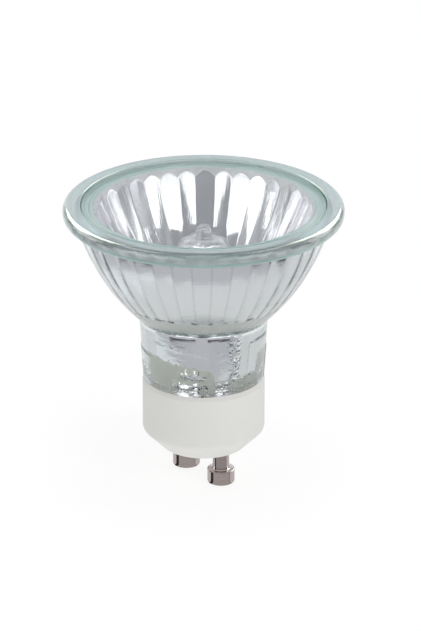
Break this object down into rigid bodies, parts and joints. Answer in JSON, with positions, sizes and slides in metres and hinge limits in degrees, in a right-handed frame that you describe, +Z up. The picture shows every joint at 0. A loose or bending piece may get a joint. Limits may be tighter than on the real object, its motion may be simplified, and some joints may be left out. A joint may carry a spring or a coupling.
{
  "type": "halogen bulb",
  "caption": "Mains halogen reflector lamp: mirrored, strip-faceted glass bowl under a clear front lens, white ceramic base and twist-lock contact pins.",
  "frame": {"origin": "on the lamp's axis, at the level of the pin ends on which it stands", "axes": "+Z up along the lamp's axis towards the front lens; X through the two pins"},
  "size_m": [0.0506, 0.0506, 0.053],
  "materials": {
    "lens_glass": "clear, polished",
    "adhesive": "clear silicone",
    "mirrored_glass": "clear glass with an aluminium mirror on its inner side",
    "white_ceramic": "fine matt, unglazed",
    "cement": "rough",
    "pin_metal": "dull nickel plate",
    "quartz": "clear, fire polished",
    "tungsten": "drawn",
    "wire": "drawn",
    "foil": "rolled"
  },
  "bodies": {
    "root": {"front_lens": "lens_glass", "lens_bond": "adhesive", "reflector": "mirrored_glass", "ceramic_base": "white_ceramic", "neck_cement": "cement", "capsule_cement": "cement", "contact_pin_left": "pin_metal", "contact_pin_right": "pin_metal", "capsule": "quartz", "filament": "tungsten", "filament_support_1": "wire", "filament_support_2": "wire", "filament_support_3": "wire", "inner_lead_left": "wire", "inner_lead_right": "wire", "foil_left": "foil", "foil_right": "foil", "outer_lead_left": "wire", "outer_lead_right": "wire"}
  },
  "joints": []
}
